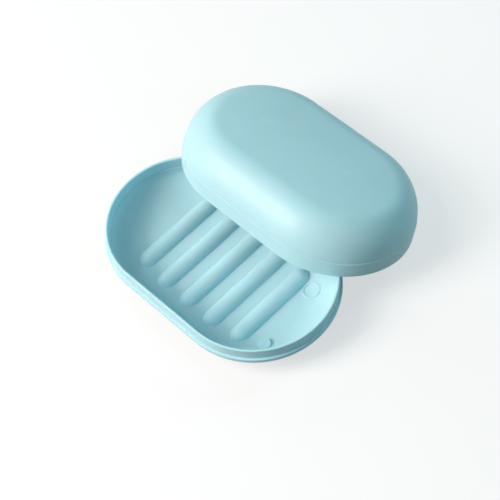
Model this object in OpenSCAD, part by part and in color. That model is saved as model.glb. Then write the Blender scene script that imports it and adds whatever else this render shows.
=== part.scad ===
// Travel soap box: an obround dish with cross ribs, and a domed lid that lifts off.
// The lid is drawn taken off. It is set back, with its near edge leaning on the dish's rim
// and its far edge on the table.
// +X runs along the box, +Y points from the dish to the lid, and +Z is up. The origin is on
// the table, in the middle of the ground that the two pieces cover.

/* [Box] */
// Length of the closed box
length = 110; // [98:1:124]
// Width of the closed box, and the diameter of its round ends
width = 70; // [64:1:78]
// Clearance all round between the lid's skirt and the dish's lip
fit_gap = 0.15; // [0.1:0.05:0.3]
// Clearance between the top of the lip and the step inside the closed lid
top_gap = 0.3; // [0.2:0.1:0.6]

/* [Dish] */
// Height of the rim above the table
rim_h = 17; // [15.5:0.5:20]
// Thickness of the curved wall and of the floor
dish_wall = 1.5; // [1.2:0.1:1.8]
// Height of the lip above the ledge that the lid sits on
lip_h = 5.5; // [4:0.25:6]
// Thickness of the lip
lip_wall = 1; // [0.8:0.05:1.1]
// Rounding of the lip's two upper edges
rim_round = 0.35; // [0.2:0.05:0.4]
// Height of the upright band under the ledge
band_h = 2.1; // [1.6:0.1:3]
// Rounding of the band's two outer edges
band_round = 0.25; // [0.1:0.05:0.4]
// How far the lip's inner face runs below the ledge, down to the small step in the wall
inner_drop = 0.3; // [0.1:0.1:1]
// How far the wall steps inwards below the lip
inner_step = 0.3; // [0.1:0.05:0.5]
// Reach of the curved wall, from its top inwards to the flat floor
curve_w = 15; // [13:0.5:16.5]

/* [Foot] */
// Height of the foot ring under the floor
foot_h = 0.8; // [0.5:0.1:1.2]
// Width of the foot ring
foot_w = 1.5; // [1:0.1:2]
// How far the foot ring lies inside the edge of the flat floor
foot_inset = 0.3; // [0.2:0.1:1]

/* [Ribs] */
// Number of ribs
rib_count = 5; // [3:1:6]
// Distance from rib to rib
rib_pitch = 13.5; // [10:0.1:14]
// Width of a rib at the floor
rib_w = 7.8; // [5.5:0.1:8.4]
// Height of a rib above the floor
rib_h = 3.2; // [2.8:0.1:4]
// Length of the rounded nose at each end of a rib
rib_nose = 6; // [5:0.5:9]
// Distance from the tip of a rib to the inside of the lip
rib_margin = 7.4; // [5:0.2:9]
// Distance from the end of the groove under a rib to the rib's own tip
groove_margin = 6; // [5:0.5:9]

/* [Marks] */
// Diameter of the low round pad beside the last rib
pad_d = 5.2; // [4:0.2:8]
// Height of the pad's top above the floor
pad_h = 2; // [1.5:0.1:3]
// Distance of the pad's middle from the middle of the round end
pad_reach = 23.7; // [18:0.1:25]
// Direction of the pad, below the long axis
pad_angle = 39.4; // [35:0.1:60]
// Diameter of the plain witness ring on the floor
mark_d = 7.4; // [5:0.2:8]
// Width of the witness ring
mark_w = 0.6; // [0.5:0.1:1]
// Height of the witness ring above the floor
mark_h = 0.25; // [0.1:0.05:0.3]
// Distance of the witness ring's middle from the middle of the round end
mark_reach = 21.9; // [16:0.1:23]
// Direction of the witness ring, above the long axis
mark_angle = 46.8; // [35:0.1:60]

/* [Lid] */
// Height of the lid
lid_h = 24.6; // [20:0.2:30]
// Thickness of the lid's dome
lid_wall = 1.3; // [1:0.1:1.6]
// Thickness of the skirt's lower edge, which goes round the lip
skirt_edge = 0.8; // [0.6:0.05:1]
// Height of the upright skirt
skirt_h = 7; // [6.5:0.1:9]
// How far the dome is set in above the skirt
skirt_step = 0.25; // [0.1:0.05:0.4]
// Rounding of the skirt's outer edges
skirt_round = 0.3; // [0.1:0.05:0.4]
// Width of the rounded shoulder, from the skirt to the flat crown
shoulder_w = 13; // [10:0.5:15]
// Rise of the crown from the shoulder to the middle of the lid
crown_rise = 1; // [0.6:0.1:1.5]

/* [Lid at rest] */
// How far back the lid lies, from the middle of the dish to the middle of the lid
lid_back = 45; // [41:0.5:52]
// Gap left between the leaning lid and the rim
rest_gap = 0.3; // [0.2:0.05:0.4]

/* [Hidden] */
$fn = 96;
crown_fn = 720;
over = 1;
aqua = "#a6dce2";
aqua_lid = "#a9dfe5";

// Outline: two half circles, with a straight length between their middles
end_r = width / 2;
end_x = (length - width) / 2;

// Dish, in heights above the table and in distances from the outline's middle line
skirt_in_r = end_r - skirt_edge;
lip_out_r = skirt_in_r - fit_gap;
lip_in_r = lip_out_r - lip_wall;
wall_r = lip_in_r - inner_step;
ledge_z = rim_h - lip_h;
step_z = ledge_z - inner_drop;
floor_z = foot_h + dish_wall;
floor_r = wall_r - curve_w;
foot_r = floor_r - foot_inset;

// The curved wall is two arcs that meet at this slope: a wide one from the floor and a
// tight one up to the wall's top
bend = 45;
curve_h = step_z - floor_z;
bend_det = sin(bend) * cos(bend) - (1 - sin(bend)) * (1 - cos(bend));
wide_r = (curve_w * cos(bend) - curve_h * (1 - sin(bend))) / bend_det;
tight_r = (curve_h * sin(bend) - curve_w * (1 - cos(bend))) / bend_det;
wide_mid = [floor_r, floor_z + wide_r];
tight_mid = [wall_r - tight_r, step_z];

// Ribs: the arc through a rib's two feet and its crest, about an axis near the floor
rib_r = (pow(rib_w / 2, 2) + pow(rib_h, 2)) / (2 * rib_h);
rib_z = floor_z + rib_h - rib_r;
groove_r = rib_r - dish_wall;
rib_reach = lip_in_r - rib_margin;
// Lid, in heights above its own lower edge. The dome is three arcs: a side arc up from the
// skirt, a shoulder arc, and the wide crown arc that ends at this slope
dome_r = end_r - skirt_step;
crown_edge_r = dome_r - shoulder_w;
crown_r = (pow(crown_edge_r, 2) + pow(crown_rise, 2)) / (2 * crown_rise);
crown_slope = asin(crown_edge_r / crown_r);
dome_h = lid_h - skirt_h - crown_rise;
turn_x = cos(bend) - sin(crown_slope);
turn_z = cos(crown_slope) - sin(bend);
dome_det = (1 - cos(bend)) * turn_z - turn_x * sin(bend);
side_r = (shoulder_w * turn_z - dome_h * turn_x) / dome_det;
shoulder_r = (dome_h * (1 - cos(bend)) - shoulder_w * sin(bend)) / dome_det;
side_mid = [dome_r - side_r, skirt_h];
shoulder_mid = side_mid + (side_r - shoulder_r) * [cos(bend), sin(bend)];
crown_mid = [0, lid_h - crown_r];
lid_in_r = dome_r - lid_wall;

// Rest pose: the lid's inner edge meets the lip's outer edge where their outlines cross.
// lean is the lid's tilt when they cross at y, and settle finds that y by halving the error
settle_turns = 12;
foot_edge_r = end_r - skirt_round;
function reach(y) = sqrt(pow(y, 2) + pow(skirt_in_r, 2) - pow(lip_out_r, 2));
function lean(y) = asin((rim_h + rest_gap) / (foot_edge_r + reach(y)));
function settle(y, turns) =
    turns == 0 ? y : settle((y + lid_back - reach(y) * cos(lean(y))) / 2, turns - 1);
cross_y = settle(lid_back / 2, settle_turns);
tilt = lean(cross_y);
lid_rise = foot_edge_r * sin(tilt) + skirt_round * (1 - cos(tilt));

// The two pieces together, from the dish's near side to the lid's far side
far_y = lid_back + side_mid.x * cos(tilt) + side_mid.y * sin(tilt) + side_r;
dish_y = -(far_y - end_r) / 2;
lid_y = dish_y + lid_back;

// Half-length of a rib at x: the ribs are cut shorter where their outer sides reach into the
// round ends
function rib_half(x) = sqrt(pow(rib_reach, 2) - pow(max(abs(x) + rib_w / 2 - end_x, 0), 2));

// Sweeps a profile round the outline; the profile's x is the distance from the middle line
module sweep_outline() {
    for (side = [-1, 1])
        translate([side * end_x, 0, 0])
            rotate([0, 0, -90 * side])
                rotate_extrude(angle = 180)
                    children();
    rotate([90, 0, 90])
        linear_extrude(height = 2 * end_x, center = true) {
            children();
            mirror([1, 0]) children();
        }
}

// Slice of a disc between two directions no more than 60 degrees apart
module disc_slice(middle, r, from, to, segments = $fn) {
    intersection() {
        translate(middle) circle(r = r, $fn = segments);
        polygon([
            middle,
            middle + 2 * r * [cos(from), sin(from)],
            middle + 2 * r * [cos(to), sin(to)]
        ]);
    }
}

// Inside of the dish's curved wall and floor, or its outside when grown by the wall
module bowl_profile(grow) {
    bottom = floor_z - grow;
    intersection() {
        translate([0, bottom]) square([wall_r + grow, step_z - bottom]);
        union() {
            polygon([
                [0, bottom],
                [floor_r, bottom],
                wide_mid + (wide_r + grow) * [sin(bend), -cos(bend)],
                [wall_r + grow, step_z],
                [0, step_z]
            ]);
            disc_slice(wide_mid, wide_r + grow, -90, bend - 90);
            disc_slice(tight_mid, tight_r + grow, bend - 90, 0);
        }
    }
}

// Section of a plate with both outer edges rounded
module rounded_plate(reach, height, round_r) {
    translate([0, round_r]) square([reach, height - 2 * round_r]);
    square([reach - round_r, height]);
    for (z = [round_r, height - round_r])
        translate([reach - round_r, z]) circle(r = round_r);
}

// Filled outer shape of the dish: foot ring, bowl, band and lip
module dish_outer_profile() {
    translate([foot_r - foot_w, 0]) square([foot_w, floor_z - dish_wall / 2]);
    bowl_profile(dish_wall);
    translate([0, ledge_z - band_h]) rounded_plate(end_r, band_h, band_round);
    translate([0, step_z]) square([lip_out_r, rim_h - rim_round - step_z]);
    translate([0, step_z]) square([lip_out_r - rim_round, rim_h - step_z]);
    translate([lip_out_r - rim_round, rim_h - rim_round]) circle(r = rim_round);
}

// Hollow of the dish, which opens out over the rounded edge of the lip
module dish_hollow_profile() {
    bowl_profile(0);
    translate([0, step_z]) square([lip_in_r, rim_h + over - step_z]);
    difference() {
        translate([0, rim_h - rim_round]) square([lip_in_r + rim_round, rim_round + over]);
        translate([lip_in_r + rim_round, rim_h - rim_round]) circle(r = rim_round);
    }
}

// Half outline of a rib or groove from above: straight, with an arc over the nose at each end
module spindle_profile(r, half_length, nose) {
    arc_r = (pow(nose, 2) + pow(r, 2)) / (2 * r);
    intersection() {
        translate([0, -half_length]) square([r, 2 * half_length]);
        union() {
            translate([0, nose - half_length]) square([r, 2 * (half_length - nose)]);
            for (end = [-1, 1])
                translate([r - arc_r, end * (half_length - nose)]) circle(r = arc_r);
        }
    }
}

// Round bar across the box, with a rounded nose at both ends
module spindle(r, half_length, nose) {
    rotate([-90, 0, 0])
        rotate_extrude()
            spindle_profile(r, half_length, nose);
}

// Positions of the ribs along the box
module each_rib() {
    for (i = [0 : rib_count - 1]) {
        $rib_x = (i - (rib_count - 1) / 2) * rib_pitch;
        translate([$rib_x, 0, rib_z]) children();
    }
}

module ribs() {
    each_rib()
        spindle(rib_r, rib_half($rib_x), rib_nose);
}

// Grooves under the ribs, open below, which keep the moulding about as thick as the wall
module grooves() {
    groove_nose = rib_nose * groove_r / rib_r;
    each_rib() {
        spindle(groove_r, rib_half($rib_x) - groove_margin, groove_nose);
        translate([0, 0, -rib_z - over])
            linear_extrude(height = rib_z + over)
                for (side = [0, 1])
                    mirror([side, 0])
                        spindle_profile(groove_r, rib_half($rib_x) - groove_margin, groove_nose);
    }
}

// Low round pad that runs into the curved wall
module pad() {
    translate([end_x + pad_reach * cos(pad_angle), -pad_reach * sin(pad_angle), 0])
        cylinder(d = pad_d, h = floor_z + pad_h);
}

// Plain raised ring, as high all round, which lies across the foot of the curved wall
module witness_ring() {
    difference() {
        translate([end_x + mark_reach * cos(mark_angle), mark_reach * sin(mark_angle), 0])
            difference() {
                cylinder(d = mark_d, h = step_z - over);
                cylinder(d = mark_d - 2 * mark_w, h = step_z);
            }
        sweep_outline() bowl_profile(-mark_h);
    }
}

module dish() {
    color(aqua)
        translate([0, dish_y, 0])
            difference() {
                sweep_outline() dish_outer_profile();
                difference() {
                    sweep_outline() dish_hollow_profile();
                    ribs();
                    pad();
                    witness_ring();
                }
                grooves();
            }
}

// Filled shape of the lid's dome, or the hollow under it when shrunk by the wall
module dome_profile(shrink) {
    intersection() {
        translate([0, skirt_h]) square([dome_r - shrink, lid_h - shrink - skirt_h]);
        union() {
            polygon([
                [0, skirt_h],
                [dome_r - shrink, skirt_h],
                side_mid + (side_r - shrink) * [cos(bend), sin(bend)],
                shoulder_mid + (shoulder_r - shrink) * [sin(crown_slope), cos(crown_slope)],
                [0, lid_h - shrink]
            ]);
            disc_slice(side_mid, side_r - shrink, 0, bend);
            disc_slice(shoulder_mid, shoulder_r - shrink, bend, 90 - crown_slope);
            disc_slice(crown_mid, crown_r - shrink, 90 - crown_slope, 90, crown_fn);
        }
    }
}

// Filled outer shape of the lid: the upright skirt and the dome
module lid_outer_profile() {
    rounded_plate(end_r, skirt_h, skirt_round);
    dome_profile(0);
}

// Hollow of the lid: wide where it goes round the lip, then the dome less its wall
module lid_hollow_profile() {
    translate([0, -over]) square([skirt_in_r, over + lip_h + top_gap]);
    translate([0, -over]) square([lid_in_r, over + skirt_h]);
    dome_profile(lid_wall);
}

module lid() {
    color(aqua_lid)
        translate([0, lid_y, lid_rise])
            rotate([-tilt, 0, 0])
                difference() {
                    sweep_outline() lid_outer_profile();
                    sweep_outline() lid_hollow_profile();
                }
}

dish();
lid();
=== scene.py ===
import math

import bpy
from mathutils import Matrix, Vector

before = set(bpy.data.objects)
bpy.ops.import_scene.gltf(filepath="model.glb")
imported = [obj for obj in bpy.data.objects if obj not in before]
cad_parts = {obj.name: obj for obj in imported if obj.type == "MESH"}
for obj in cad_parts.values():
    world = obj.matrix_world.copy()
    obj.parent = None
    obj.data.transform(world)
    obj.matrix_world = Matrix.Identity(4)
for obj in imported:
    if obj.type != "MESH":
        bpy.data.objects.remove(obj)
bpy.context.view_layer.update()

bl_info = {
    "name": "Travel soap box",
    "version": (1, 0, 0),
    "blender": (4, 5, 0),
    "location": "3D View > Sidebar > Soap box",
    "description": "Moulded plastic finish, soft light and camera for a two-piece travel soap box",
    "category": "Add Mesh",
}

MM = 0.001

# Soft lights at LAMP_DISTANCE from the box. Each has a name, an azimuth from -Y towards +X and
# an elevation in degrees, a side in metres and a power in watts. The two key lights stand nearly
# one above the other and act as one tall window. The fills are weak.
LAMP_DISTANCE = 1.0
KEY_LIGHTS = (
    ("key_low", 331, 30, 0.45, 8.4),
    ("key_high", 324, 50, 0.45, 4.9),
)
FILL_LIGHTS = (
    ("front_fill", 50, 50, 0.5, 1.1),
    ("right_fill", 105, 32, 0.5, 1.4),
    ("back_fill", 172, 29, 0.4, 2.6),
    ("left_fill", 258, 26, 0.4, 1.8),
)

# The moulded polypropylene. Clouds make its colour up to CLOUD_TINT paler or darker, as a share,
# and the blasted grain moves its roughness by GRAIN_ROUGHNESS either way. The pits that real
# blasting leaves are about 0.05 mm wide; GRAIN_SIZE draws them just coarse enough to show.
# SPREAD_BY_COLOUR holds how far red, green and blue light spread, as shares of the spread.
CLOUD_SIZE = 14 * MM
CLOUD_TINT = 0.03
GRAIN_SIZE = 0.35 * MM
GRAIN_DEPTH = 0.004 * MM
GRAIN_ROUGHNESS = 0.03
WAVE_SIZE = 22 * MM
WAVE_DEPTH = 0.03 * MM
REFRACTIVE_INDEX = 1.49
SPREAD_BY_COLOUR = (0.6, 1.0, 1.0)

# Nearer to the camera than this nothing is drawn
CAMERA_CLIP = 10 * MM


def linear(code):
    """A colour written as an sRGB hex code, as the linear colour that Blender's sockets take."""
    channels = [int(code[i:i + 2], 16) / 255 for i in (1, 3, 5)]
    # The sRGB standard's own curve: straight for the darkest tones and a power above them
    return tuple(c / 12.92 if c <= 0.04045 else ((c + 0.055) / 1.055) ** 2.4 for c in channels)


class SoapBoxFinish(bpy.types.PropertyGroup):
    """Colour and surface of the moulded plastic."""
    dish_colour: bpy.props.StringProperty(
        name="Dish colour", description="Colour of the dish, as an sRGB hex code",
        default="#B6E0E9")
    lid_colour: bpy.props.StringProperty(
        name="Lid colour", description="Colour of the lid, as an sRGB hex code",
        default="#B2DCE4")
    dish_gloss: bpy.props.FloatProperty(
        name="Dish gloss", description="Specular level of the dish; a polished surface has 0.5",
        default=0.28, min=0, max=1, subtype="FACTOR")
    lid_gloss: bpy.props.FloatProperty(
        name="Lid gloss", description="Specular level of the lid; a polished surface has 0.5",
        default=0.4, min=0, max=1, subtype="FACTOR")
    dish_roughness: bpy.props.FloatProperty(
        name="Dish roughness", description="Roughness of the dish's moulded surface",
        default=0.48, min=0, max=1, subtype="FACTOR")
    lid_roughness: bpy.props.FloatProperty(
        name="Lid roughness", description="Roughness of the lid's moulded surface",
        default=0.44, min=0, max=1, subtype="FACTOR")
    translucency: bpy.props.FloatProperty(
        name="Translucency", description="Share of the light that spreads through the thin walls",
        default=0.5, min=0, max=1, subtype="FACTOR")
    spread: bpy.props.FloatProperty(
        name="Spread", description="How far light spreads inside the plastic",
        default=1.2 * MM, unit="LENGTH")


class SoapBoxStage(bpy.types.PropertyGroup):
    """Floor, camera and lights."""
    floor_side: bpy.props.FloatProperty(
        name="Floor side", description="Side of the square floor", default=8.0, unit="LENGTH")
    floor_colour: bpy.props.StringProperty(
        name="Floor colour", description="Colour that the floor is seen in, as an sRGB hex code",
        default="#FCFDFD")
    floor_bounce: bpy.props.StringProperty(
        name="Floor bounce", description="Grey of the light that the floor throws back on the box",
        default="#8C8C8C")
    floor_glow: bpy.props.FloatProperty(
        name="Floor glow", description="How far the backdrop's own light whitens the floor",
        default=0.6, min=0, max=1)
    room_light: bpy.props.FloatProperty(
        name="Room light", description="Strength of the light that comes from all round",
        default=0.05, min=0, max=1)
    key_colour: bpy.props.StringProperty(
        name="Key colour", description="Colour of the key lights, as an sRGB hex code",
        default="#FFF2EC")
    fill_colour: bpy.props.StringProperty(
        name="Fill colour", description="Colour of the fill lights, as an sRGB hex code",
        default="#B8E9F1")
    azimuth: bpy.props.FloatProperty(
        name="Camera azimuth", description="Direction of the camera, from -Y towards +X",
        default=math.radians(51.25), subtype="ANGLE")
    elevation: bpy.props.FloatProperty(
        name="Camera elevation", description="Height of the camera's direction above the table",
        default=math.radians(57.41), subtype="ANGLE")
    roll: bpy.props.FloatProperty(
        name="Camera roll", description="Turn of the camera about its own view, anticlockwise",
        default=math.radians(-8.32), subtype="ANGLE")
    distance: bpy.props.FloatProperty(
        name="Camera distance", description="Distance from the camera to the point it aims at",
        default=566.7 * MM, unit="LENGTH")
    aim: bpy.props.FloatVectorProperty(
        name="Camera aim", description="Point that the camera aims at",
        default=(10.07 * MM, -15.81 * MM, 18.3 * MM), size=3, subtype="TRANSLATION")
    lens: bpy.props.FloatProperty(
        name="Lens", description="Focal length in millimetres, on a 36 mm sensor", default=100.33)


def add_node(tree, kind, links=(), **settings):
    """Adds a shader node, with its settings and links.

    A key in settings is a node setting, or else a socket, with _ for each space in its name. A
    link is a socket of this node and the output that feeds it.
    """
    node = tree.nodes.new(kind)
    for key, value in settings.items():
        if hasattr(node, key):
            setattr(node, key, value)
        else:
            node.inputs[key.replace("_", " ")].default_value = value
    for socket, output in links:
        tree.links.new(output, node.inputs[socket])
    return node


def new_material(name):
    """An empty node material with its output node."""
    material = bpy.data.materials.new(name)
    material.use_nodes = True
    tree = material.node_tree
    tree.nodes.clear()
    return material, tree, add_node(tree, "ShaderNodeOutputMaterial")


def shade(code, factor=1.0):
    """An sRGB hex colour made lighter or darker, as a linear colour with alpha."""
    return (*(min(channel * factor, 1) for channel in linear(code)), 1)


def seen_directly(tree):
    """1 for what is seen straight, mirrored or through glass, and 0 for light on the box."""
    ray = add_node(tree, "ShaderNodeLightPath").outputs
    mirrored = add_node(
        tree, "ShaderNodeMath", [(0, ray["Is Camera Ray"]), (1, ray["Is Glossy Ray"])],
        operation="MAXIMUM")
    through_glass = add_node(
        tree, "ShaderNodeMath", [(0, mirrored.outputs["Value"]), (1, ray["Is Transmission Ray"])],
        operation="MAXIMUM")
    return through_glass.outputs["Value"]


# Moulded polypropylene: the wall is milky and lets light spread a little, red less than green
# and blue, so shaded parts turn deep teal. The mould was finely blasted, which gives a satin
# surface with a broad, weak highlight and no mirror image. It was blasted a little finer for the
# lid than for the dish. The melt cools unevenly, which leaves faint broad waves and clouds of
# colour.
def moulded_polypropylene(name, colour, gloss, roughness, finish):
    """Injection-moulded, pigmented polypropylene from a finely blasted mould."""
    material, tree, output = new_material(name)
    place = add_node(tree, "ShaderNodeTexCoord").outputs["Object"]
    clouds = add_node(
        tree, "ShaderNodeTexNoise", [("Vector", place)], Scale=1 / CLOUD_SIZE, Detail=2.0)
    tint = add_node(
        tree, "ShaderNodeMix", [("Factor", clouds.outputs["Fac"])], data_type="RGBA")
    tint.inputs["A"].default_value = shade(colour, 1 - CLOUD_TINT)
    tint.inputs["B"].default_value = shade(colour, 1 + CLOUD_TINT)
    grain = add_node(
        tree, "ShaderNodeTexNoise", [("Vector", place)], Scale=1 / GRAIN_SIZE, Detail=2.0)
    satin = add_node(
        tree, "ShaderNodeMapRange", [("Value", grain.outputs["Fac"])],
        To_Min=roughness - GRAIN_ROUGHNESS, To_Max=roughness + GRAIN_ROUGHNESS)
    waves = add_node(
        tree, "ShaderNodeTexNoise", [("Vector", place)], Scale=1 / WAVE_SIZE, Detail=0.0)
    wavy = add_node(
        tree, "ShaderNodeBump", [("Height", waves.outputs["Fac"])],
        Strength=1.0, Distance=WAVE_DEPTH)
    wavy_and_grained = add_node(
        tree, "ShaderNodeBump",
        [("Height", grain.outputs["Fac"]), ("Normal", wavy.outputs["Normal"])],
        Strength=1.0, Distance=GRAIN_DEPTH)
    shader = add_node(
        tree, "ShaderNodeBsdfPrincipled",
        [("Base Color", tint.outputs["Result"]), ("Roughness", satin.outputs["Result"]),
         ("Normal", wavy_and_grained.outputs["Normal"])],
        IOR=REFRACTIVE_INDEX, Specular_IOR_Level=gloss, Subsurface_Weight=finish.translucency,
        Subsurface_Scale=finish.spread, Subsurface_Radius=SPREAD_BY_COLOUR)
    tree.links.new(shader.outputs["BSDF"], output.inputs["Surface"])
    return material


# Matte paper: seen straight it is near white, but the box gets only a dull light back from it,
# as from a floor that lies outside the lit patch. The shadow stays.
def matte_paper(name, stage):
    """The studio's paper floor."""
    material, tree, output = new_material(name)
    bounce = add_node(tree, "ShaderNodeBsdfDiffuse", Color=shade(stage.floor_bounce))
    paper = add_node(
        tree, "ShaderNodeBsdfDiffuse", Color=shade(stage.floor_colour, 1 - stage.floor_glow))
    glow = add_node(
        tree, "ShaderNodeEmission", Color=shade(stage.floor_colour), Strength=stage.floor_glow)
    lit_paper = add_node(
        tree, "ShaderNodeAddShader", [(0, paper.outputs["BSDF"]), (1, glow.outputs["Emission"])])
    mixed = add_node(
        tree, "ShaderNodeMixShader",
        [("Fac", seen_directly(tree)),
         (1, bounce.outputs["BSDF"]), (2, lit_paper.outputs["Shader"])])
    tree.links.new(mixed.outputs["Shader"], output.inputs["Surface"])
    return material


def dress(node, material):
    """Gives a CAD node one material."""
    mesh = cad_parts[node].data
    mesh.materials.clear()
    mesh.materials.append(material)


class SOAPBOX_OT_dish(bpy.types.Operator):
    """Finish the dish"""
    bl_idname = "soapbox.dish"
    bl_label = "Dish"

    def execute(self, context):
        finish = context.scene.soapbox_finish
        dress("dish", moulded_polypropylene(
            "moulded_polypropylene_dish", finish.dish_colour, finish.dish_gloss,
            finish.dish_roughness, finish))
        return {"FINISHED"}


class SOAPBOX_OT_lid(bpy.types.Operator):
    """Finish the lid"""
    bl_idname = "soapbox.lid"
    bl_label = "Lid"

    def execute(self, context):
        finish = context.scene.soapbox_finish
        dress("lid", moulded_polypropylene(
            "moulded_polypropylene_lid", finish.lid_colour, finish.lid_gloss,
            finish.lid_roughness, finish))
        return {"FINISHED"}


def direction(azimuth, elevation):
    """Unit vector towards azimuth, from -Y towards +X, and elevation, both in radians."""
    return Vector((
        math.sin(azimuth) * math.cos(elevation),
        -math.cos(azimuth) * math.cos(elevation),
        math.sin(elevation)))


def softbox(name, azimuth, elevation, side, power, colour):
    """A square soft light that faces the box from LAMP_DISTANCE. Angles are in degrees."""
    data = bpy.data.lights.new(name, "AREA")
    data.shape = "SQUARE"
    data.size = side
    data.energy = power
    data.color = linear(colour)
    lamp = bpy.data.objects.new(name, data)
    towards = direction(math.radians(azimuth), math.radians(elevation))
    lamp.location = LAMP_DISTANCE * towards
    lamp.rotation_euler = towards.to_track_quat("Z", "Y").to_euler()
    bpy.context.scene.collection.objects.link(lamp)


def studio_room(stage):
    """The room round the table: white where it is seen, and dim as a light."""
    world = bpy.data.worlds.new("studio_room")
    world.use_nodes = True
    tree = world.node_tree
    strength = add_node(
        tree, "ShaderNodeMapRange", [("Value", seen_directly(tree))],
        To_Min=stage.room_light, To_Max=1.0)
    background = tree.nodes["Background"]
    background.inputs["Color"].default_value = (1, 1, 1, 1)
    tree.links.new(strength.outputs["Result"], background.inputs["Strength"])
    return world


def paper_floor(stage):
    """The floor that the box stands on."""
    bpy.ops.mesh.primitive_plane_add(size=stage.floor_side)
    floor = bpy.context.object
    floor.name = "floor"
    floor.data.materials.append(matte_paper("matte_paper_floor", stage))


def photo_camera(stage):
    """The camera, turned about its own view after it is aimed."""
    back = direction(stage.azimuth, stage.elevation)
    turn = back.to_track_quat("Z", "Y").to_matrix() @ Matrix.Rotation(stage.roll, 3, "Z")
    data = bpy.data.cameras.new("camera")
    data.lens = stage.lens
    data.clip_start = CAMERA_CLIP
    camera = bpy.data.objects.new("camera", data)
    camera.matrix_world = Matrix.Translation(
        Vector(stage.aim) + stage.distance * back) @ turn.to_4x4()
    bpy.context.scene.collection.objects.link(camera)
    return camera


class SOAPBOX_OT_stage(bpy.types.Operator):
    """Lay the floor and set the lights and the camera"""
    bl_idname = "soapbox.stage"
    bl_label = "Stage"

    def execute(self, context):
        scene = context.scene
        stage = scene.soapbox_stage
        paper_floor(stage)
        scene.world = studio_room(stage)
        for lights, colour in ((KEY_LIGHTS, stage.key_colour), (FILL_LIGHTS, stage.fill_colour)):
            for light in lights:
                softbox(*light, colour)
        scene.camera = photo_camera(stage)
        scene.view_settings.view_transform = "Standard"
        return {"FINISHED"}


class SOAPBOX_PT_panel(bpy.types.Panel):
    """Lists the sizes, the colours and the steps that dress the soap box"""
    bl_label = "Soap box"
    bl_idname = "SOAPBOX_PT_panel"
    bl_space_type = "VIEW_3D"
    bl_region_type = "UI"
    bl_category = "Soap box"

    def draw(self, context):
        for group in (context.scene.soapbox_finish, context.scene.soapbox_stage):
            for name in type(group).__annotations__:
                self.layout.prop(group, name)
        for step in STEPS:
            self.layout.operator(step.bl_idname)


STEPS = (SOAPBOX_OT_dish, SOAPBOX_OT_lid, SOAPBOX_OT_stage)
CLASSES = (SoapBoxFinish, SoapBoxStage, *STEPS, SOAPBOX_PT_panel)


def register():
    for item in CLASSES:
        bpy.utils.register_class(item)
    bpy.types.Scene.soapbox_finish = bpy.props.PointerProperty(type=SoapBoxFinish)
    bpy.types.Scene.soapbox_stage = bpy.props.PointerProperty(type=SoapBoxStage)


def unregister():
    del bpy.types.Scene.soapbox_stage
    del bpy.types.Scene.soapbox_finish
    for item in reversed(CLASSES):
        bpy.utils.unregister_class(item)


def main():
    register()
    bpy.ops.soapbox.dish()
    bpy.ops.soapbox.lid()
    bpy.ops.soapbox.stage()


if __name__ == "__main__":
    main()
